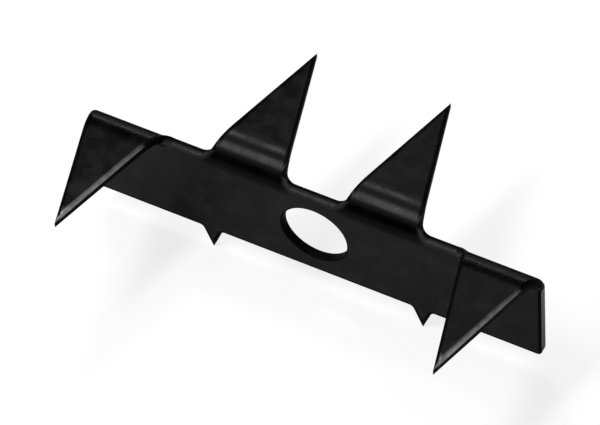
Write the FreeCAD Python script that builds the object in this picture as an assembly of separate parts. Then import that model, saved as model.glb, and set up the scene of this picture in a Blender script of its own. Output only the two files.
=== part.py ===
"""Hidden deck fastener: one stamped sheet clip with four folded prongs, two barbs and a screw hole.

Frame: origin at the middle of the screw hole, halfway through the sheet. X runs along the plate, +Y points
to the board that is already laid and +Z points up, away from the joist. All sizes are in millimetres.
"""
import FreeCAD, Part
import math
import os

Vector = FreeCAD.Vector

# Sheet and plate
sheet = 1.0
plate_length = 50.8
plate_corner_radius = 0.4
hole_diameter = 7.4
hole_height = 5.7

# Prongs: the height is that of the middle of their thickness above the plate's bottom edge, and the width is
# that at the end of the bend
prong_height = 12.7
prong_width = 6.6
prong_reach = 15.7
prong_tip_radius = 0.1

# Bend: its run along the middle of the sheet, and how it eases out; 1 is an even arc, more is tighter at the
# plate and flatter at the prong
bend_length = 4.75
bend_ease = 1.7

# Where the prongs stand along the plate
rear_prong_pitch = 15.2
front_prong_end_margin = 1.05

# Roots: how far the plate's top edge stands above the bend line, the fillet into each prong, and how far past
# the prong's width the bend stays full
top_edge_rise = 1.1
root_radius = 1.3
full_bend_margin = 0.35

# Barbs on the bottom edge
barb_pitch = 24.0
barb_width = 2.2
barb_depth = 3.1
barb_root_radius = 0.5
barb_tip_radius = 0.1

# Sections along a prong's side and round its root, points along each bend's curve and steps between them
side_sections = 8
root_sections = 6
bend_points = 12
bend_steps = 10


def bend_path(length, share):
    """Follow the middle of a bend for a length: (y, z, angle) at each point, for a share of the full bend."""
    def turned(run):
        return share * math.pi / 2 * (1 - max(0, 1 - run / bend_length) ** bend_ease)

    y = z = 0
    path = [(0, 0, 0)]
    step = length / (bend_points * bend_steps)
    for i in range(bend_points):
        for j in range(bend_steps):
            angle = turned((i * bend_steps + j + 0.5) * step)
            y += step * math.sin(angle)
            z += step * math.cos(angle)
        path.append((y, z, turned((i + 1) * bend_steps * step)))
    return path


# Sizes that follow from the ones above
bend_reach, bend_rise, bend_angle = bend_path(bend_length, 1)[-1]
bend_line = prong_height - bend_rise
top_edge = bend_line + top_edge_rise
half_width = prong_width / 2
taper = half_width / (prong_reach - bend_reach)
rear_prong_x = rear_prong_pitch / 2
front_prong_x = plate_length / 2 - half_width - front_prong_end_margin
barb_x = barb_pitch / 2
root_centre_rise = top_edge_rise + root_radius
root_end = (
    half_width
    + taper * (bend_length - root_centre_rise)
    + root_radius * math.hypot(1, taper)
)


def rounded_wire(corners, place):
    """Make a closed wire from (u, v, radius) corners, each rounded; place(u, v) gives a corner's point."""
    count = len(corners)
    runs = []
    for i in range(count):
        before = corners[i - 1]
        u, v, radius = corners[i]
        after = corners[(i + 1) % count]
        into = (before[0] - u, before[1] - v)
        out = (after[0] - u, after[1] - v)
        into_size = math.hypot(*into)
        out_size = math.hypot(*out)
        into = (into[0] / into_size, into[1] / into_size)
        out = (out[0] / out_size, out[1] / out_size)
        if radius == 0:
            runs.append([(u, v)])
            continue
        half_angle = math.acos(into[0] * out[0] + into[1] * out[1]) / 2
        setback = radius / math.tan(half_angle)
        middle = radius / math.sin(half_angle) - radius
        axis = (into[0] + out[0], into[1] + out[1])
        axis_size = math.hypot(*axis)
        start = (u + into[0] * setback, v + into[1] * setback)
        crest = (u + axis[0] / axis_size * middle, v + axis[1] / axis_size * middle)
        end = (u + out[0] * setback, v + out[1] * setback)
        runs.append([start, crest, end])
    edges = []
    for i in range(count):
        run = [place(*point) for point in runs[i]]
        if len(run) == 3:
            edges.append(Part.Arc(*run).toShape())
        edges.append(Part.makeLine(run[-1], place(*runs[(i + 1) % count][0])))
    return Part.Wire(edges)


def plate():
    """Make the standing plate, notched where the prongs fold away, with its barbs and screw hole."""
    corners = [(-plate_length / 2, 0, plate_corner_radius)]
    for x in (-barb_x, barb_x):
        corners.append((x - barb_width / 2, 0, barb_root_radius))
        corners.append((x, -barb_depth, barb_tip_radius))
        corners.append((x + barb_width / 2, 0, barb_root_radius))
    corners.append((plate_length / 2, 0, plate_corner_radius))
    corners.append((plate_length / 2, bend_line, 0))
    raised = (
        (front_prong_x - root_end, rear_prong_x + root_end),
        (rear_prong_x - root_end, root_end - rear_prong_x),
        (-rear_prong_x - root_end, root_end - front_prong_x),
    )
    for right, left in raised:
        corners.append((right, bend_line, 0))
        corners.append((right, top_edge, 0))
        corners.append((left, top_edge, 0))
        corners.append((left, bend_line, 0))
    corners.append((-plate_length / 2, bend_line, 0))
    outline = rounded_wire(corners, lambda x, z: Vector(x, -sheet / 2, z))
    body = Part.Face(outline).extrude(Vector(0, sheet, 0))
    hole = Part.makeCylinder(
        hole_diameter / 2, 2 * sheet, Vector(0, -sheet, hole_height), Vector(0, 1, 0)
    )
    return body.cut(hole)


def bend_section(x, length, share):
    """Make the sheet's section at x: a strip that rises from the bend line, so long and so far bent."""
    path = bend_path(length, share)

    def side(offset):
        return [
            Vector(x, y + offset * math.cos(angle), bend_line + z - offset * math.sin(angle))
            for y, z, angle in path
        ]

    def curve(points):
        through = Part.BSplineCurve()
        through.interpolate(points)
        return through.toShape()

    outer = side(-sheet / 2)
    inner = side(sheet / 2)
    return Part.Wire([
        curve(outer),
        Part.makeLine(outer[-1], inner[-1]),
        curve(inner[::-1]),
        Part.makeLine(inner[0], outer[0]),
    ])


def root_web():
    """Make the root at a prong's +X side: its taper, its fillet and the bend that fades into the plate."""
    slope = math.hypot(1, taper)
    tangent_x = root_end - root_radius / slope
    tangent_run = root_centre_rise - root_radius * taper / slope
    stations = []
    for i in range(side_sections):
        share = i / side_sections
        x = half_width + (tangent_x - half_width) * share
        stations.append((x, bend_length + (tangent_run - bend_length) * share))
    first = math.pi + math.atan(taper)
    last = 1.5 * math.pi
    for i in range(root_sections):
        angle = first + (last - first) * i / (root_sections - 1)
        x = root_end + root_radius * math.cos(angle)
        stations.append((x, root_centre_rise + root_radius * math.sin(angle)))
    sections = []
    full = half_width + full_bend_margin
    for x, run in stations:
        share = max(0, (x - full) / (root_end - full))
        fade = share * share * (3 - 2 * share)
        sections.append(bend_section(x, run, 1 - fade))
    return Part.makeLoft(sections, True, False)


def end_web():
    """Make a prong's +X side at the plate's end, where its taper runs out into the straight end."""
    sections = []
    for i in range(side_sections):
        x = half_width + front_prong_end_margin * i / (side_sections - 1)
        sections.append(bend_section(x, bend_length - (x - half_width) / taper, 1))
    return Part.makeLoft(sections, True, False)


def prong(right_web, left_web):
    """Make a prong folded to +Y about the middle of X, with the web at each of its sides."""
    fold = bend_section(-half_width, bend_length, 1)
    core = Part.Face(fold).extrude(Vector(prong_width, 0, 0))
    corners = [
        (-half_width, bend_reach, 0),
        (half_width, bend_reach, 0),
        (0, prong_reach, prong_tip_radius),
    ]
    outline = rounded_wire(corners, lambda x, y: Vector(x, y, prong_height - sheet / 2))
    blade = Part.Face(outline).extrude(Vector(0, 0, sheet))
    mirrored = left_web.mirror(Vector(), Vector(1, 0, 0))
    return [core, blade, right_web, mirrored]


def moved(pieces, x):
    """Move pieces along X."""
    return [piece.translated(Vector(x, 0, 0)) for piece in pieces]


def build():
    """Join the plate and its four prongs into one folded sheet, set in the part's frame."""
    pieces = []
    for x in (-rear_prong_x, rear_prong_x):
        pieces += moved(prong(root_web(), root_web()), x)
    right = moved(prong(end_web(), root_web()), front_prong_x)
    for piece in right:
        forward = piece.mirror(Vector(), Vector(0, 1, 0))
        pieces += [forward, forward.mirror(Vector(), Vector(1, 0, 0))]
    clip = plate().multiFuse(pieces).removeSplitter()
    clip.translate(Vector(0, 0, -hole_height))
    return clip


os.makedirs("parts", exist_ok=True)
deck_clip = build()
deck_clip.exportStep("parts/deck_clip.step")
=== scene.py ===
"""Looks of a hidden deck fastener: a stamped, folded and black-coated clip in a white studio."""

import logging
import math
from dataclasses import dataclass, field
from enum import Enum

import bmesh
import bpy
from mathutils import Matrix, Vector


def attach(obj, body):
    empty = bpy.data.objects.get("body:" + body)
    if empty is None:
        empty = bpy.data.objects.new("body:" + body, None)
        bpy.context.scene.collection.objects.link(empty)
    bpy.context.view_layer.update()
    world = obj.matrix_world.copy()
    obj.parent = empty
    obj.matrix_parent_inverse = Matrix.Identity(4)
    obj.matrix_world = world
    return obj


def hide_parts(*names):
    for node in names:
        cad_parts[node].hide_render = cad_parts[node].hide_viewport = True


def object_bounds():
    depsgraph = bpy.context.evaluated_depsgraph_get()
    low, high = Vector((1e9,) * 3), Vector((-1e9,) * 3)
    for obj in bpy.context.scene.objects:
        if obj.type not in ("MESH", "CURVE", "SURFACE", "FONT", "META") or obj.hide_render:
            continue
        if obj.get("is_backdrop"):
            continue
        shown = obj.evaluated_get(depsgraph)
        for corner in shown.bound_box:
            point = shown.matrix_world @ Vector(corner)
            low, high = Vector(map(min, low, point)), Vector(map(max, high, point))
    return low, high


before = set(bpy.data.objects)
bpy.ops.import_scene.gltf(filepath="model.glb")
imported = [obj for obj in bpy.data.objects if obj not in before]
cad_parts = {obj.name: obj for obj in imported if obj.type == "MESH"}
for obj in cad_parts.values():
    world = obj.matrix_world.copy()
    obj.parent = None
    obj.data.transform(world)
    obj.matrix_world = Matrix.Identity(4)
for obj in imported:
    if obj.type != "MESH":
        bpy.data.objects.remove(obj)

LOG = logging.getLogger("deck_clip")
MM = 0.001
IMAGE_WIDTH = 600
HAIR = 1e-6  # A distance too small to see, in metres.
CUT_TOLERANCE = 1e-8  # How near to a dividing plane a point counts as on it, in metres.
WALL_LEAN = 0.02  # A cut wall's normal has less than this along Y.
FACE_LEAN = 0.9  # A flat face's normal has more than this along Y.
TOP_LEAN = 0.5  # The top wall's normal has more than this along Z.
Colour = tuple[float, float, float, float]


def clamped(value: float) -> float:
    """Hold a value between 0 and 1."""
    return min(max(value, 0.0), 1.0)


def eased(share: float) -> float:
    """Ease a share in at 0 and out at 1."""
    held = clamped(share)
    return held * held * (3 - 2 * held)


class Fold(Enum):
    """The way a prong is folded out of the standing plate, as a sign along Y."""

    REAR = 1
    FRONT = -1


class Finish(Enum):
    """How a face of the sheet was made, by its finish's place among the clip's materials."""

    COATED = 0
    SHEARED = 1


@dataclass(frozen=True)
class Prong:
    """One pointed prong: where it stands along the plate and how it is folded.

    Attributes:
        centre: Place of its middle along the plate, in metres.
        fold: The way it is folded.
        end: Sign of the side that runs into the plate's end, or 0 where both sides have a root.
    """

    centre: float
    fold: Fold
    end: int = 0


@dataclass
class NodeBench:
    """A new material and short ways to add the nodes that its finish needs.

    Attributes:
        name: The material's name.
        material: The material.
        nodes: Its nodes.
        links: Its links.
        shader: Its surface shader.
    """

    name: str
    material: bpy.types.Material = field(init=False)
    nodes: bpy.types.Nodes = field(init=False)
    links: bpy.types.NodeLinks = field(init=False)
    shader: bpy.types.ShaderNodeBsdfPrincipled = field(init=False)

    def __post_init__(self) -> None:
        """Start the material."""
        self.material = bpy.data.materials.new(self.name)
        self.material.use_nodes = True
        self.nodes = self.material.node_tree.nodes
        self.links = self.material.node_tree.links
        self.shader = self.nodes["Principled BSDF"]

    def attribute(self, name: str) -> bpy.types.ShaderNodeAttribute:
        """Add a node that reads one of the piece's own attributes.

        Args:
            name: The attribute's name.

        Returns:
            The node.
        """
        node = self.nodes.new("ShaderNodeAttribute")
        node.attribute_name = name
        return node

    def stretched(
        self, place: bpy.types.NodeSocket, scale: tuple[float, float, float]
    ) -> bpy.types.NodeSocket:
        """Scale a place differently along its axes.

        Args:
            place: The place.
            scale: The three scales.

        Returns:
            The scaled place.
        """
        node = self.nodes.new("ShaderNodeMapping")
        node.inputs["Scale"].default_value = scale
        self.links.new(place, node.inputs["Vector"])
        return node.outputs["Vector"]

    def noise(
        self, place: bpy.types.NodeSocket, scale: float, detail: float
    ) -> bpy.types.NodeSocket:
        """Add a noise texture.

        Args:
            place: The place on the sheet.
            scale: Repeats per unit of the place.
            detail: Octaves of detail.

        Returns:
            The noise, about 0.5.
        """
        node = self.nodes.new("ShaderNodeTexNoise")
        node.inputs["Scale"].default_value = scale
        node.inputs["Detail"].default_value = detail
        self.links.new(place, node.inputs["Vector"])
        return node.outputs["Fac"]

    def ranged(
        self, value: bpy.types.NodeSocket, low: float, high: float, to_low: float, to_high: float
    ) -> bpy.types.NodeSocket:
        """Map a value from one range to another, held at its ends.

        Args:
            value: The value.
            low: Value that gives to_low.
            high: Value that gives to_high.
            to_low: Result at low.
            to_high: Result at high.

        Returns:
            The mapped value.
        """
        node = self.nodes.new("ShaderNodeMapRange")
        node.inputs["From Min"].default_value = low
        node.inputs["From Max"].default_value = high
        node.inputs["To Min"].default_value = to_low
        node.inputs["To Max"].default_value = to_high
        self.links.new(value, node.inputs["Value"])
        return node.outputs["Result"]

    def joined(
        self, operation: str, first: bpy.types.NodeSocket, second: bpy.types.NodeSocket
    ) -> bpy.types.NodeSocket:
        """Join two values by an operation.

        Args:
            operation: Name of the operation.
            first: First value.
            second: Second value.

        Returns:
            The result.
        """
        node = self.nodes.new("ShaderNodeMath")
        node.operation = operation
        self.links.new(first, node.inputs[0])
        self.links.new(second, node.inputs[1])
        return node.outputs[0]

    def mixed(
        self,
        share: bpy.types.NodeSocket,
        first: bpy.types.NodeSocket | Colour,
        second: bpy.types.NodeSocket | Colour,
    ) -> bpy.types.NodeSocket:
        """Mix two colours.

        Args:
            share: Share of the second colour.
            first: First colour, or where it comes from.
            second: Second colour, or where it comes from.

        Returns:
            The mixed colour.
        """
        node = self.nodes.new("ShaderNodeMix")
        node.data_type = "RGBA"
        self.links.new(share, node.inputs["Factor"])
        for name, colour in (("A", first), ("B", second)):
            if isinstance(colour, bpy.types.NodeSocket):
                self.links.new(colour, node.inputs[name])
            else:
                node.inputs[name].default_value = colour
        return node.outputs["Result"]

    def raised(
        self,
        height: bpy.types.NodeSocket,
        distance: float,
        under: bpy.types.NodeSocket | None = None,
    ) -> bpy.types.NodeSocket:
        """Raise the surface by a height.

        Args:
            height: The height, from 0 to 1.
            distance: What a height of 1 is, in metres.
            under: The relief that it lies on, if any.

        Returns:
            The surface's normal.
        """
        node = self.nodes.new("ShaderNodeBump")
        node.inputs["Strength"].default_value = 1.0
        node.inputs["Distance"].default_value = distance
        self.links.new(height, node.inputs["Height"])
        if under is not None:
            self.links.new(under, node.inputs["Normal"])
        return node.outputs["Normal"]

    def height(self, place: bpy.types.NodeSocket) -> bpy.types.NodeSocket:
        """Take the height out of a place.

        Args:
            place: The place.

        Returns:
            Its height.
        """
        node = self.nodes.new("ShaderNodeSeparateXYZ")
        self.links.new(place, node.inputs["Vector"])
        return node.outputs["Z"]

    def slanted(self) -> bpy.types.NodeSocket:
        """Add a node that tells how far the surface turns away from the eye, from 0 to 1."""
        return self.nodes.new("ShaderNodeLayerWeight").outputs["Facing"]

    def feed(self, value: bpy.types.NodeSocket, name: str) -> None:
        """Link a value to one of the shader's inputs."""
        self.links.new(value, self.shader.inputs[name])


@dataclass(frozen=True)
class SatinBlackCoat:
    """Thin satin black coat on rolled sheet: faint peel, cloudy gloss, rubbed to steel on edges,
    which also paints a highlight where light falls on them.

    Heights on the flat blank and heights of relief are in metres, and noise scales are per metre.
    """

    colour: Colour = (0.0002, 0.0002, 0.0002, 1.0)
    cloud_colour: Colour = (0.0050, 0.0050, 0.0051, 1.0)
    # Rubbed steel on the edges: partly real wear, partly a painted highlight on the front prongs'
    # lit +X edges and the front of the top edge.
    wear_and_sheen_colour: Colour = (0.34, 0.34, 0.335, 1.0)
    gloss: float = 0.21
    dull: float = 0.30
    rubbed_gloss: float = 0.16
    full_polish: float = 0.5
    index: float = 1.126
    noise_low: float = 0.3
    noise_high: float = 0.7
    cloud_scale: float = 420.0
    cloud_detail: float = 4.0
    cloud_start: float = 0.44
    cloud_full: float = 0.66
    wave_scale: float = 450.0
    wave_detail: float = 1.0
    wave_height: float = 0.014 * MM
    peel_scale: float = 1300.0
    peel_detail: float = 2.0
    peel_height: float = 0.0025 * MM
    grit_scale: float = 7000.0
    grit_detail: float = 2.0
    grit_low: float = -0.02
    grit_high: float = 0.03
    rub_scale: float = 1500.0
    rub_detail: float = 4.0
    rub_least: float = 0.5
    rim_start: float = 0.50
    rim_end: float = 0.72
    rim_dull: float = 0.78
    fold_start: float = 10.2 * MM
    fold_full: float = 10.6 * MM
    flat_start: float = 14.4 * MM
    flat_full: float = 15.2 * MM
    bent_clouds: float = 0.25

    def material(self) -> bpy.types.Material:
        """Make the coat's material.

        Returns:
            The material, which reads the flat blank's coordinates, so its patterns follow the
            folds.
        """
        bench = NodeBench("satin_black_coat")
        place = bench.attribute("blank").outputs["Vector"]
        worn_and_sheen = bench.attribute("worn_and_sheen").outputs["Fac"]
        height = bench.height(place)
        folded = bench.ranged(height, self.fold_start, self.fold_full, 0.0, 1.0)
        clouds = bench.noise(place, self.cloud_scale, self.cloud_detail)
        rub = bench.noise(place, self.rub_scale, self.rub_detail)
        patchy = bench.ranged(rub, self.noise_low, self.noise_high, self.rub_least, 1.0)
        rub_and_sheen = bench.joined("MULTIPLY", worn_and_sheen, patchy)
        shade = self._shade(bench, clouds, height, folded)
        cloudy = bench.mixed(shade, self.colour, self.cloud_colour)
        # Under the wear mask the base colour turns to rubbed steel: partly wear, partly a painted
        # highlight where light falls on those edges.
        bench.feed(bench.mixed(rub_and_sheen, cloudy, self.wear_and_sheen_colour), "Base Color")
        bench.feed(rub_and_sheen, "Metallic")
        polished = self._polished(bench, self._gritty(bench, place, clouds), rub_and_sheen)
        bench.feed(bench.joined("ADD", polished, self._rim(bench, folded)), "Roughness")
        bench.feed(self._relief(bench, place), "Normal")
        bench.shader.distribution = "GGX"
        bench.shader.inputs["IOR"].default_value = self.index
        return bench.material

    def _shade(
        self,
        bench: NodeBench,
        clouds: bpy.types.NodeSocket,
        height: bpy.types.NodeSocket,
        folded: bpy.types.NodeSocket,
    ) -> bpy.types.NodeSocket:
        """Give the share of the clouds' colour, which is small where the sheet is bent.

        Args:
            bench: The material.
            clouds: The clouds' noise.
            height: Height on the flat blank.
            folded: 1 above the bend line and 0 on the plate.

        Returns:
            The share.
        """
        curved = bench.ranged(height, self.flat_start, self.flat_full, 1.0, 0.0)
        bent = bench.joined("MULTIPLY", folded, curved)
        seen = bench.ranged(bent, 0.0, 1.0, 1.0, self.bent_clouds)
        patches = bench.ranged(clouds, self.cloud_start, self.cloud_full, 0.0, 1.0)
        return bench.joined("MULTIPLY", patches, seen)

    def _gritty(
        self, bench: NodeBench, place: bpy.types.NodeSocket, clouds: bpy.types.NodeSocket
    ) -> bpy.types.NodeSocket:
        """Give the unworn coat's roughness, with clouds and fine grit in it.

        Args:
            bench: The material.
            place: The place on the flat blank.
            clouds: The clouds' noise.

        Returns:
            The roughness.
        """
        gloss = bench.ranged(clouds, self.noise_low, self.noise_high, self.gloss, self.dull)
        noise = bench.noise(place, self.grit_scale, self.grit_detail)
        grit = bench.ranged(
            noise, self.noise_low, self.noise_high, self.grit_low, self.grit_high
        )
        return bench.joined("ADD", gloss, grit)

    def _polished(
        self, bench: NodeBench, rough: bpy.types.NodeSocket, rub_and_sheen: bpy.types.NodeSocket
    ) -> bpy.types.NodeSocket:
        """Polish the roughness where the edge is rubbed and carries the painted highlight.

        Args:
            bench: The material.
            rough: The unworn coat's roughness.
            rub_and_sheen: How far the coat is rubbed off, with the painted highlight on the lit
                edges.

        Returns:
            The roughness.
        """
        polish = bench.ranged(
            rub_and_sheen, 0.0, self.full_polish, 1.0, self.rubbed_gloss / self.gloss
        )
        return bench.joined("MULTIPLY", rough, polish)

    def _rim(self, bench: NodeBench, folded: bpy.types.NodeSocket) -> bpy.types.NodeSocket:
        """Give the roughness that the coat gains at a slant, above the bend line.

        Args:
            bench: The material.
            folded: 1 above the bend line and 0 on the plate.

        Returns:
            The added roughness.
        """
        slant = bench.ranged(
            bench.slanted(), self.rim_start, self.rim_end, 0.0, self.rim_dull
        )
        return bench.joined("MULTIPLY", slant, folded)

    def _relief(
        self, bench: NodeBench, place: bpy.types.NodeSocket
    ) -> bpy.types.NodeSocket:
        """Give the coat's relief: its peel, on the sheet's slow waves.

        Args:
            bench: The material.
            place: The place on the flat blank.

        Returns:
            The surface's normal.
        """
        wave = bench.noise(place, self.wave_scale, self.wave_detail)
        peel = bench.noise(place, self.peel_scale, self.peel_detail)
        return bench.raised(peel, self.peel_height, bench.raised(wave, self.wave_height))


@dataclass(frozen=True)
class ShearedEdge:
    """Cut wall of the sheet: dull black, streaked across the thickness as the shear leaves it."""

    smooth_colour: Colour = (0.0012, 0.0012, 0.0013, 1.0)
    torn_colour: Colour = (0.0040, 0.0040, 0.0040, 1.0)
    smooth_gloss: float = 0.40
    torn_gloss: float = 0.55
    index: float = 1.05
    streak_scale: tuple[float, float, float] = (5200.0, 500.0, 5200.0)
    streak_detail: float = 3.0
    streak_height: float = 0.0008 * MM
    torn_start: float = 0.35
    torn_full: float = 0.65

    def material(self) -> bpy.types.Material:
        """Make the cut wall's material.

        Returns:
            The material, which reads the flat blank's coordinates.
        """
        bench = NodeBench("sheared_edge")
        place = bench.attribute("blank").outputs["Vector"]
        streaks = bench.noise(
            bench.stretched(place, self.streak_scale), 1.0, self.streak_detail
        )
        torn = bench.ranged(streaks, self.torn_start, self.torn_full, 0.0, 1.0)
        bench.feed(bench.mixed(torn, self.smooth_colour, self.torn_colour), "Base Color")
        bench.feed(
            bench.ranged(torn, 0.0, 1.0, self.smooth_gloss, self.torn_gloss), "Roughness"
        )
        bench.feed(bench.raised(streaks, self.streak_height), "Normal")
        bench.shader.inputs["IOR"].default_value = self.index
        return bench.material


@dataclass
class DeckClip:
    """The clip, made as in the works: a blank is sheared and punched, and its prongs are folded.

    The blank lies in the plane of the standing plate: X along the plate, Z up from its bottom
    edge, and the sheet's thickness along Y. Sizes are in metres. Sizes that follow from others
    have no value of their own here.
    """

    sheet: float = 1.0 * MM
    length: float = 50.8 * MM
    corner_radius: float = 0.58 * MM
    hole_radius: float = 3.7 * MM
    hole_height: float = 5.7 * MM
    hole_margin: float = 0.5 * MM
    hole_segments: int = 96
    prong_height: float = 12.7 * MM
    prong_width: float = 6.6 * MM
    prong_reach: float = 15.415 * MM
    bend_length: float = 4.75 * MM
    bend_ease: float = 1.7
    rear_pitch: float = 15.2 * MM
    front_end_margin: float = 1.05 * MM
    top_edge_rise: float = 1.1 * MM
    root_radius: float = 1.3 * MM
    full_bend_margin: float = 0.35 * MM
    barb_pitch: float = 24.0 * MM
    barb_width: float = 2.2 * MM
    barb_depth: float = 2.897 * MM
    barb_root_radius: float = 0.5 * MM
    edge_roll: float = 0.55 * MM
    hole_roll: float = 0.30 * MM
    roll_segments: int = 8
    front_roll: float = 0.20 * MM
    back_roll: float = 0.22 * MM
    plate_roll: float = 0.06 * MM
    end_roll: float = 4.0
    end_roll_run: float = 1.2 * MM
    bend_steps: int = 28
    path_steps: int = 48
    root_steps: int = 12
    fillet_segments: int = 10
    # The edge wear below is partly real and partly a painted highlight. It lies only on the front
    # prongs' +X sides, where light falls, and grows toward the points. It also traces the front
    # of the top edge.
    root_wear_and_sheen: float = 0.45
    point_wear_and_sheen: float = 1.00
    wear_and_sheen_start: float = 0.8 * MM
    wear_and_sheen_end: float = 1.0 * MM
    point_length: float = 2.4 * MM
    top_wear_and_sheen: float = 0.11
    dull_from: float = 0.10
    smooth_depth: float = 0.08 * MM
    bend_line: float = field(init=False)
    flat_line: float = field(init=False)
    top_edge: float = field(init=False)
    half_width: float = field(init=False)
    full_width: float = field(init=False)
    taper: float = field(init=False)
    tip_height: float = field(init=False)
    root_corner: float = field(init=False)
    root_end: float = field(init=False)
    prongs: list[Prong] = field(init=False)

    def __post_init__(self) -> None:
        """Work out the sizes that follow from the others, and set out the prongs."""
        bend_reach, bend_rise, _ = self._bend(self.bend_length, 1.0)
        flat_length = self.prong_reach - bend_reach
        self.bend_line = self.prong_height - bend_rise
        self.flat_line = self.bend_line + self.bend_length
        self.top_edge = self.bend_line + self.top_edge_rise
        self.half_width = self.prong_width / 2
        self.full_width = self.half_width + self.full_bend_margin
        self.taper = self.half_width / flat_length
        self.tip_height = self.flat_line + flat_length
        self.root_corner = self.half_width + self.taper * (self.bend_length - self.top_edge_rise)
        self.root_end = (
            self.root_corner
            - self.taper * self.root_radius
            + self.root_radius * math.hypot(1, self.taper)
        )
        rear = self.rear_pitch / 2
        front = self.length / 2 - self.half_width - self.front_end_margin
        self.prongs = [
            Prong(-front, Fold.FRONT, -1),
            Prong(-rear, Fold.REAR),
            Prong(rear, Fold.REAR),
            Prong(front, Fold.FRONT, 1),
        ]

    def outline(self) -> list[tuple[float, float, float]]:
        """Give the blank's corners.

        Returns:
            The corners in order round the blank, each as x, z and the radius that rounds it.
        """
        end = self.length / 2
        corners = [(-end, 0.0, self.corner_radius)]
        for x in (-self.barb_pitch / 2, self.barb_pitch / 2):
            corners.append((x - self.barb_width / 2, 0.0, self.barb_root_radius))
            corners.append((x, -self.barb_depth, 0.0))
            corners.append((x + self.barb_width / 2, 0.0, self.barb_root_radius))
        corners.append((end, 0.0, self.corner_radius))
        for prong in reversed(self.prongs):
            corners.append(self._root(prong, 1))
            corners.append((prong.centre, self.tip_height, 0.0))
            corners.append(self._root(prong, -1))
        return corners

    def _root(self, prong: Prong, side: int) -> tuple[float, float, float]:
        """Give the corner at the foot of a prong's side.

        Args:
            prong: The prong.
            side: Sign of the side along X.

        Returns:
            The corner as x, z and the radius that rounds it.
        """
        if prong.end == side:
            run = self.bend_length - self.front_end_margin / self.taper
            return (side * self.length / 2, self.bend_line + run, 0.0)
        return (prong.centre + side * self.root_corner, self.top_edge, self.root_radius)

    def _nearest(self, x: float) -> Prong:
        """Give the prong whose middle is nearest to a place along the plate."""
        return min(self.prongs, key=lambda prong: abs(x - prong.centre))

    def cut_blank(self) -> bmesh.types.BMesh:
        """Cut the flat blank out of the sheet.

        Returns:
            The blank, with its corners rounded and its thickness along Y.
        """
        blank = bmesh.new()
        corners = self.outline()
        points = [blank.verts.new((x, -self.sheet / 2, z)) for x, z, _ in corners]
        blank.faces.new(points)
        for point, (_, _, radius) in zip(points, corners):
            if radius > 0:
                self._round_corner(blank, point, radius)
        grown = bmesh.ops.extrude_face_region(blank, geom=blank.faces[:])["geom"]
        moved = [item for item in grown if isinstance(item, bmesh.types.BMVert)]
        bmesh.ops.translate(blank, verts=moved, vec=(0, self.sheet, 0))
        bmesh.ops.recalc_face_normals(blank, faces=blank.faces[:])
        return blank

    def _round_corner(
        self, blank: bmesh.types.BMesh, point: bmesh.types.BMVert, radius: float
    ) -> None:
        """Round one corner of the blank.

        Args:
            blank: The blank, still a single face.
            point: The corner.
            radius: The radius to round it to.
        """
        first, second = (
            (edge.other_vert(point).co - point.co).normalized() for edge in point.link_edges
        )
        half_angle = first.angle(second) / 2
        bmesh.ops.bevel(
            blank,
            geom=[point],
            offset=radius / math.tan(half_angle),
            offset_type="OFFSET",
            segments=self.fillet_segments,
            profile=0.5,
            affect="VERTICES",
            clamp_overlap=False,
            material=-1,
        )

    def shear(self, blank: bmesh.types.BMesh) -> None:
        """Round the sheared edges over, on the front and on the back.

        Args:
            blank: The blank.
        """
        for side in (-1, 1):
            self._roll_over(blank, self._edges_of(blank, side), side, self.edge_roll)

    @staticmethod
    def _edges_of(blank: bmesh.types.BMesh, side: int) -> list[bmesh.types.BMEdge]:
        """Give the edges round one face of the blank.

        Args:
            blank: The blank.
            side: Sign of the face along Y.

        Returns:
            The edges between that face and the cut walls.
        """
        return [
            edge
            for edge in blank.edges
            if any(face.normal.y * side > FACE_LEAN for face in edge.link_faces)
            and any(abs(face.normal.y) < WALL_LEAN for face in edge.link_faces)
        ]

    def _roll_over(
        self, blank: bmesh.types.BMesh, edges: list[bmesh.types.BMEdge], side: int, width: float
    ) -> None:
        """Roll edges of one face over, wider than they are deep.

        Args:
            blank: The blank.
            edges: The edges.
            side: Sign of the face along Y.
            width: How far in from the edge the roll starts.
        """
        rounded = bmesh.ops.bevel(
            blank,
            geom=edges,
            offset=width,
            offset_type="OFFSET",
            segments=self.roll_segments,
            profile=0.5,
            affect="EDGES",
            clamp_overlap=False,
            loop_slide=True,
            material=-1,
        )
        face = side * self.sheet / 2
        for point in rounded["verts"]:
            depth = self._roll_depth(side, point.co.z)
            point.co.y = face + (point.co.y - face) * depth / width

    def _roll_depth(self, side: int, z: float) -> float:
        """Give how deep an edge is rolled over: a little round the plate, more along the prongs.

        Args:
            side: Sign of the edge's face along Y.
            z: Height on the blank.

        Returns:
            The depth.
        """
        along_prong = self.front_roll if side < 0 else self.back_roll
        share = clamped((z - self.bend_line) / self.bend_length)
        return self.plate_roll + (along_prong - self.plate_roll) * share

    def _rolled(self, place: Vector) -> float:
        """Tell how far down a rolled edge a place on the blank lies.

        Args:
            place: The place.

        Returns:
            Its share of the roll's depth, from 0 at the face to 1 at the cut wall.
        """
        depth = self._roll_depth(1 if place.y > 0 else -1, place.z)
        return clamped((self.sheet / 2 - abs(place.y)) / depth)

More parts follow.
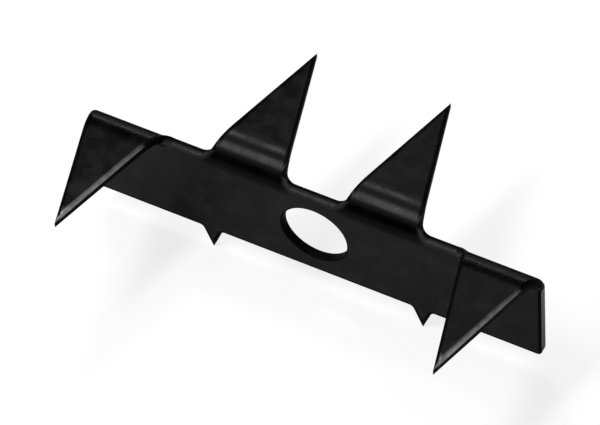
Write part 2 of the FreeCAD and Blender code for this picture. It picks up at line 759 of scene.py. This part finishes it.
    def punch_hole(self, blank: bmesh.types.BMesh) -> None:
        """Punch the screw hole through the blank and round its rims.

        Args:
            blank: The blank.
        """
        reach = self.hole_radius + self.hole_margin
        middle = Vector((0, 0, self.hole_height))
        for normal in (Vector((1, 0, 0)), Vector((0, 0, 1))):
            for side in (-1, 1):
                self._score(blank, middle + normal * side * reach, normal)
        rims: list[list[bmesh.types.BMEdge]] = []
        for y in (-self.sheet / 2, self.sheet / 2):
            place = Vector((0, y, self.hole_height))
            window = min(
                blank.faces, key=lambda face: (face.calc_center_median() - place).length
            )
            window_edges = window.edges[:]
            bmesh.ops.delete(blank, geom=[window], context="FACES_ONLY")
            bmesh.ops.subdivide_edges(
                blank, edges=window_edges, cuts=self.hole_segments // 4 - 1
            )
            done = set(rims[0]) if rims else set()
            border = [edge for edge in blank.edges if edge.is_boundary and edge not in done]
            grown = bmesh.ops.extrude_edge_only(blank, edges=border)["geom"]
            ring = [item for item in grown if isinstance(item, bmesh.types.BMVert)]
            for point in ring:
                point.co = place + (point.co - place).normalized() * self.hole_radius
            rims.append([edge for edge in blank.edges if edge.is_boundary and edge not in done])
        bmesh.ops.bridge_loops(blank, edges=rims[0] + rims[1])
        bmesh.ops.recalc_face_normals(blank, faces=blank.faces[:])
        self._roll_over(blank, rims[0], -1, self.hole_roll)
        self._roll_over(blank, rims[1], 1, self.hole_roll)

    @staticmethod
    def _score(
        blank: bmesh.types.BMesh,
        place: Vector,
        normal: Vector,
        faces: list[bmesh.types.BMFace] | None = None,
    ) -> None:
        """Divide faces of the blank along a plane.

        Args:
            blank: The blank.
            place: A point on the plane.
            normal: The plane's normal.
            faces: The faces to divide, or none for the whole blank.
        """
        if faces is None:
            parts = blank.verts[:] + blank.edges[:] + blank.faces[:]
        else:
            points = dict.fromkeys(point for face in faces for point in face.verts)
            edges = dict.fromkeys(edge for face in faces for edge in face.edges)
            parts = [*points, *edges, *faces]
        bmesh.ops.bisect_plane(
            blank, geom=parts, dist=CUT_TOLERANCE, plane_co=place, plane_no=normal
        )

    def score_folds(self, blank: bmesh.types.BMesh) -> None:
        """Divide the blank where it curves: across each bend and root, and short of the points.

        Args:
            blank: The blank.
        """
        for i in range(self.bend_steps + 1):
            left = (1 - i / self.bend_steps) ** (1 / self.bend_ease)
            z = self.bend_line + self.bend_length * (1 - left)
            self._score(blank, Vector((0, 0, z)), Vector((0, 0, 1)))
        for short in (self.point_length, self.wear_and_sheen_end):
            self._score(blank, Vector((0, 0, self.tip_height - short)), Vector((0, 0, 1)))
        for prong in self.prongs:
            for side in (-1, 1):
                if prong.end == side:
                    continue
                for i in range(self.root_steps + 1):
                    across = (self.root_end - self.full_width) * i / self.root_steps
                    x = prong.centre + side * (self.full_width + across)
                    self._score(blank, Vector((x, 0, 0)), Vector((1, 0, 0)))

    def score_top(self, blank: bmesh.types.BMesh) -> None:
        """Divide the plate's top wall where the smooth part of its cut ends.

        Args:
            blank: The blank, divided along its folds.
        """
        blank.normal_update()
        wall = [face for face in blank.faces if self._at_top(face)]
        self._score(blank, Vector((0, self.smooth_depth, 0)), Vector((0, 1, 0)), wall)

    def _at_top(self, face: bmesh.types.BMFace) -> bool:
        """Tell whether a face is part of the plate's top wall.

        Args:
            face: The face.

        Returns:
            True if it is.
        """
        level = abs(face.calc_center_median().z - self.top_edge) < self.edge_roll
        return level and abs(face.normal.y) < WALL_LEAN and face.normal.z > TOP_LEAN

    def mark(self, blank: bmesh.types.BMesh) -> None:
        """Keep the flat blank's coordinates and its wear with the painted highlight, and tell cut
        faces from coated ones.

        Args:
            blank: The blank, before it is folded.
        """
        place = blank.verts.layers.float_vector.new("blank")
        worn_and_sheen = blank.verts.layers.float.new("worn_and_sheen")
        for point in blank.verts:
            point[place] = point.co
            point[worn_and_sheen] = self._wear_and_sheen(point.co)
        for face in blank.faces:
            face.smooth = True
            face.normal_update()
            face.material_index = self._finish(face).value

    def _finish(self, face: bmesh.types.BMFace) -> Finish:
        """Tell how a face of the blank was made.

        Args:
            face: The face.

        Returns:
            Sheared for cut walls and the outer part of rolled edges, but coated where the edge
            is worn and carries the painted highlight, at the plate's ends below the bend line, on
            the front of its top wall and along the rear bends.
        """
        middle = face.calc_center_median()
        if abs(face.normal.y) < WALL_LEAN:
            near_end = self.length / 2 - abs(middle.x) < self.edge_roll
            at_end = near_end and middle.z < self.bend_line
            at_top = self._at_top(face) and middle.y < self.smooth_depth
            return Finish.COATED if at_end or at_top else Finish.SHEARED
        in_bend = self.bend_line < middle.z < self.flat_line
        in_rear_bend = in_bend and self._nearest(middle.x).fold is Fold.REAR
        kept = in_rear_bend or self._wear_and_sheen(middle) > 0
        dull = self._rolled(middle) > self.dull_from and not kept
        return Finish.SHEARED if dull else Finish.COATED

    def _wear_and_sheen(self, place: Vector) -> float:
        """Give a place's wear and painted highlight: most on the front prongs' lit +X sides, a
        trace along the front of the top edge.

        Args:
            place: The place on the flat blank.

        Returns:
            The wear and painted highlight, from 0 on the flats to 1.
        """
        prong = self._nearest(place.x)
        below = self._rolled(place)
        rolled = math.sqrt(below * (2 - below))
        # Partly rubbed steel, partly a painted highlight: the front of the top edge gets a trace,
        # and only the front prongs' +X sides, where light falls, get the rest, growing toward the
        # points.
        if abs(place.z - self.top_edge) < self.edge_roll:
            return 0.0 if place.y > 0 else rolled * self.top_wear_and_sheen
        over = place.z - self.flat_line
        left_side = place.x < prong.centre - HAIR
        if prong.fold is Fold.REAR or left_side or over < -self.wear_and_sheen_start:
            return 0.0
        if over < 0:
            return rolled * self.root_wear_and_sheen * (1 + over / self.wear_and_sheen_start)
        along = over / (self.tip_height - self.wear_and_sheen_end - self.flat_line)
        short = min((self.tip_height - place.z) / self.wear_and_sheen_end, 1.0)
        return rolled * short * (self.root_wear_and_sheen + (self.point_wear_and_sheen - self.root_wear_and_sheen) * along)

    def round_ends(self, blank: bmesh.types.BMesh) -> None:
        """Roll the plate's ends over deeper on the outside of the front bends.

        Args:
            blank: The blank, divided along its folds.
        """
        for point in blank.verts:
            prong = self._nearest(point.co.x)
            outer = -prong.fold.value
            under = self.sheet / 2 - point.co.y * outer
            aside = (point.co.x - prong.centre) * prong.end
            if prong.end == 0 or aside < 0 or not 0 < under < self.sheet / 2:
                continue
            run = point.co.z - self.bend_line
            rise = eased(run / self.end_roll_run)
            fall = eased((self.bend_length - run) / (self.bend_length - self.end_roll_run))
            deeper = 1 + self.end_roll * rise * fall
            point.co.y = outer * (self.sheet / 2 - under * deeper)

    def fold(self, blank: bmesh.types.BMesh) -> None:
        """Fold the prongs out of the plate.

        Args:
            blank: The blank, divided along its folds.
        """
        for point in blank.verts:
            run = point.co.z - self.bend_line
            if run <= 0:
                continue
            prong = self._nearest(point.co.x)
            reach, rise, angle = self._bend(run, self._bend_share(prong, point.co.x))
            sign = prong.fold.value
            aside = point.co.y * sign
            point.co.y = sign * (reach + aside * math.cos(angle))
            point.co.z = self.bend_line + rise - aside * math.sin(angle)

    def _bend(self, run: float, share: float) -> tuple[float, float, float]:
        """Follow the middle of a bend, tightest at the plate and easing out onto the prong.

        Args:
            run: Distance along the sheet from the bend line.
            share: Share of the full bend.

        Returns:
            How far it reaches, how far it rises and the angle that it has turned by.
        """
        step = min(run, self.bend_length) / self.path_steps
        reach = rise = 0.0
        for i in range(self.path_steps):
            angle = self._turned((i + 0.5) * step, share)
            reach += step * math.sin(angle)
            rise += step * math.cos(angle)
        angle = self._turned(self.path_steps * step, share)
        beyond = max(run - self.bend_length, 0.0)
        return reach + beyond * math.sin(angle), rise + beyond * math.cos(angle), angle

    def _turned(self, run: float, share: float) -> float:
        """Give the angle that a bend has turned by.

        Args:
            run: Distance along the sheet from the bend line.
            share: Share of the full bend.

        Returns:
            The angle, in radians.
        """
        left = max(1 - run / self.bend_length, 0.0)
        return share * math.pi / 2 * (1 - left**self.bend_ease)

    def _bend_share(self, prong: Prong, x: float) -> float:
        """Give the share of the full bend, which fades out across a prong's root.

        Args:
            prong: The nearest prong.
            x: The place along the plate.

        Returns:
            The share, from 0 to 1.
        """
        across = x - prong.centre
        if prong.end != 0 and across * prong.end > 0:
            return 1.0
        return 1 - eased((abs(across) - self.full_width) / (self.root_end - self.full_width))

    def build(self) -> bpy.types.Object:
        """Make the clip.

        Returns:
            The clip's object, set in the part's frame.
        """
        blank = self.cut_blank()
        self.shear(blank)
        self.punch_hole(blank)
        self.score_folds(blank)
        self.score_top(blank)
        self.mark(blank)
        self.round_ends(blank)
        self.fold(blank)
        bmesh.ops.translate(blank, verts=blank.verts[:], vec=(0, 0, -self.hole_height))
        bmesh.ops.recalc_face_normals(blank, faces=blank.faces[:])
        mesh = bpy.data.meshes.new("folded_clip")
        blank.to_mesh(mesh)
        blank.free()
        clip = bpy.data.objects.new("folded_clip", mesh)
        bpy.context.scene.collection.objects.link(clip)
        normals = clip.modifiers.new("flat_faces_stay_flat", "WEIGHTED_NORMAL")
        normals.mode = "FACE_AREA"
        normals.keep_sharp = False
        return clip

    def dress(self, clip: bpy.types.Object, coat: SatinBlackCoat, cut: ShearedEdge) -> None:
        """Coat the clip and set it in place of its solid.

        Args:
            clip: The clip's object.
            coat: The finish of its faces.
            cut: The finish of its cut edges.
        """
        finishes = {Finish.COATED: coat, Finish.SHEARED: cut}
        for finish in Finish:
            clip.data.materials.append(finishes[finish].material())
        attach(clip, "root")
        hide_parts("deck_clip")


@dataclass(frozen=True)
class SoftLight:
    """A soft rectangular light that faces the clip.

    Attributes:
        name: The light's name.
        towards: Direction from the clip to the light.
        width: Size along X, in metres.
        height: Size across, in metres.
        level: How bright it makes a white card that faces it, where 1 is white.
        distance: Distance from the clip, in metres.
    """

    name: str
    towards: tuple[float, float, float]
    width: float
    height: float
    level: float
    distance: float = 0.60

    def build(self) -> bpy.types.Object:
        """Make the light.

        Returns:
            The light's object.
        """
        lamp = bpy.data.lights.new(self.name, "AREA")
        lamp.shape = "RECTANGLE"
        lamp.size = self.width
        lamp.size_y = self.height
        lamp.energy = self.level * (math.pi * self.distance) ** 2
        lit = bpy.data.objects.new(self.name, lamp)
        back = Vector(self.towards).normalized()
        up = back.cross(Vector((1, 0, 0))).normalized()
        turned = Matrix((up.cross(back), up, back)).transposed().to_4x4()
        lit.matrix_world = Matrix.Translation(back * self.distance) @ turned
        bpy.context.scene.collection.objects.link(lit)
        return lit


@dataclass
class Studio:
    """A white floor, soft lights and the camera. Angles are in degrees and lengths in metres."""

    azimuth: float = 30.5084
    elevation: float = 51.648
    roll: float = -3.836
    distance: float = 562.0653 * MM
    focal_pixels: float = 5581.4024
    aside: float = 1.6438 * MM
    below: float = 1.6678 * MM
    aim_height: float = 0.3 * MM
    sensor: float = 36.0
    nearest: float = 0.01
    farthest: float = 20.0
    floor_size: float = 6.0
    floor_colour: Colour = (0.90, 0.90, 0.90, 1.0)
    floor_glow: float = 0.80
    mirrored_glow: float = 0.40
    sky: Colour = (0.05, 0.05, 0.05, 1.0)
    lights: tuple[SoftLight, ...] = (
        SoftLight("front_softbox", (-0.29, -0.325, 0.890), 0.07, 0.24, 0.68),
        SoftLight("front_fill", (-0.32, -0.634, 0.704), 0.20, 0.24, 0.085),
        SoftLight("top_softbox", (-0.32, 0.340, 0.885), 0.07, 0.07, 0.21),
        SoftLight("high_fill", (-0.321, 0.165, 0.936), 0.24, 0.40, 0.21),
        SoftLight("rear_softbox", (-0.227, 0.589, 0.776), 0.08, 0.06, 0.037),
        SoftLight("right_softbox", (0.50, 0.31, 0.81), 0.80, 0.24, 0.17),
        SoftLight("rear_fill", (-0.32, 0.904, 0.285), 0.16, 0.05, 0.08),
    )

    def build_floor(self, level: float) -> bpy.types.Object:
        """Make the floor.

        Args:
            level: Height of the floor.

        Returns:
            The floor's object.
        """
        sheet = bmesh.new()
        bmesh.ops.create_grid(sheet, x_segments=1, y_segments=1, size=self.floor_size / 2)
        bmesh.ops.translate(sheet, verts=sheet.verts[:], vec=(0, 0, level))
        mesh = bpy.data.meshes.new("floor")
        sheet.to_mesh(mesh)
        sheet.free()
        floor = bpy.data.objects.new("floor", mesh)
        bpy.context.scene.collection.objects.link(floor)
        mesh.materials.append(self._floor_material())
        floor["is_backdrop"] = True
        return floor

    def _floor_material(self) -> bpy.types.Material:
        """Make the white floor's material, which keeps the clip's shadow.

        Returns:
            The material.
        """
        made = bpy.data.materials.new("white_floor")
        made.use_nodes = True
        nodes = made.node_tree.nodes
        links = made.node_tree.links
        nodes.remove(nodes["Principled BSDF"])
        paint = nodes.new("ShaderNodeBsdfDiffuse")
        paint.inputs["Color"].default_value = self.floor_colour
        glow = nodes.new("ShaderNodeEmission")
        glow.inputs["Strength"].default_value = 1.0
        path = nodes.new("ShaderNodeLightPath")
        mirrored = nodes.new("ShaderNodeMath")
        mirrored.operation = "MAXIMUM"
        links.new(path.outputs["Is Glossy Ray"], mirrored.inputs[0])
        links.new(path.outputs["Is Transmission Ray"], mirrored.inputs[1])
        dimmed = nodes.new("ShaderNodeMath")
        dimmed.operation = "MULTIPLY"
        dimmed.inputs[1].default_value = self.mirrored_glow
        links.new(mirrored.outputs[0], dimmed.inputs[0])
        share = nodes.new("ShaderNodeMath")
        share.operation = "MULTIPLY_ADD"
        share.inputs[1].default_value = self.floor_glow
        links.new(path.outputs["Is Camera Ray"], share.inputs[0])
        links.new(dimmed.outputs[0], share.inputs[2])
        mixed = nodes.new("ShaderNodeMixShader")
        links.new(share.outputs[0], mixed.inputs["Fac"])
        links.new(paint.outputs["BSDF"], mixed.inputs[1])
        links.new(glow.outputs["Emission"], mixed.inputs[2])
        links.new(mixed.outputs["Shader"], nodes["Material Output"].inputs["Surface"])
        return made

    def build_lights(self) -> list[bpy.types.Object]:
        """Make the soft lights and the dim room round them.

        Returns:
            The lights' objects.
        """
        room = bpy.data.worlds.new("room")
        room.use_nodes = True
        room.node_tree.nodes["Background"].inputs["Color"].default_value = self.sky
        bpy.context.scene.world = room
        return [light.build() for light in self.lights]

    def build_camera(self) -> bpy.types.Object:
        """Make the camera at the photograph's angle.

        Returns:
            The camera's object.
        """
        around, up_angle, roll = map(math.radians, (self.azimuth, self.elevation, self.roll))
        level = Vector((math.cos(around), math.sin(around), 0))
        outwards = Vector((math.sin(around), -math.cos(around), 0))
        back = outwards * math.cos(up_angle) + Vector((0, 0, math.sin(up_angle)))
        upright = back.cross(level)
        right = level * math.cos(roll) + upright * math.sin(roll)
        up = upright * math.cos(roll) - level * math.sin(roll)
        lens = bpy.data.cameras.new("camera")
        lens.sensor_width = self.sensor
        lens.lens = self.focal_pixels * self.sensor / IMAGE_WIDTH
        lens.clip_start = self.nearest
        lens.clip_end = self.farthest
        camera = bpy.data.objects.new("camera", lens)
        aim = Vector((0, 0, self.aim_height)) - right * self.aside + up * self.below
        turned = Matrix((right, up, back)).transposed().to_4x4()
        camera.matrix_world = Matrix.Translation(aim + back * self.distance) @ turned
        bpy.context.scene.collection.objects.link(camera)
        bpy.context.scene.camera = camera
        return camera


def main() -> None:
    """Build the clip and its studio."""
    logging.basicConfig(level=logging.INFO)
    cad_low, cad_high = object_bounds()
    bpy.context.scene.view_settings.view_transform = "Standard"

    clip_maker = DeckClip()
    clip = clip_maker.build()
    clip_maker.dress(clip, SatinBlackCoat(), ShearedEdge())
    LOG.info("%s: %d faces", clip.name, len(clip.data.polygons))

    studio = Studio()
    floor = studio.build_floor(cad_low.z)
    lights = studio.build_lights()
    camera = studio.build_camera()
    for made in (floor, *lights, camera):
        LOG.info("%s: in the studio", made.name)


if __name__ == "__main__":
    main()
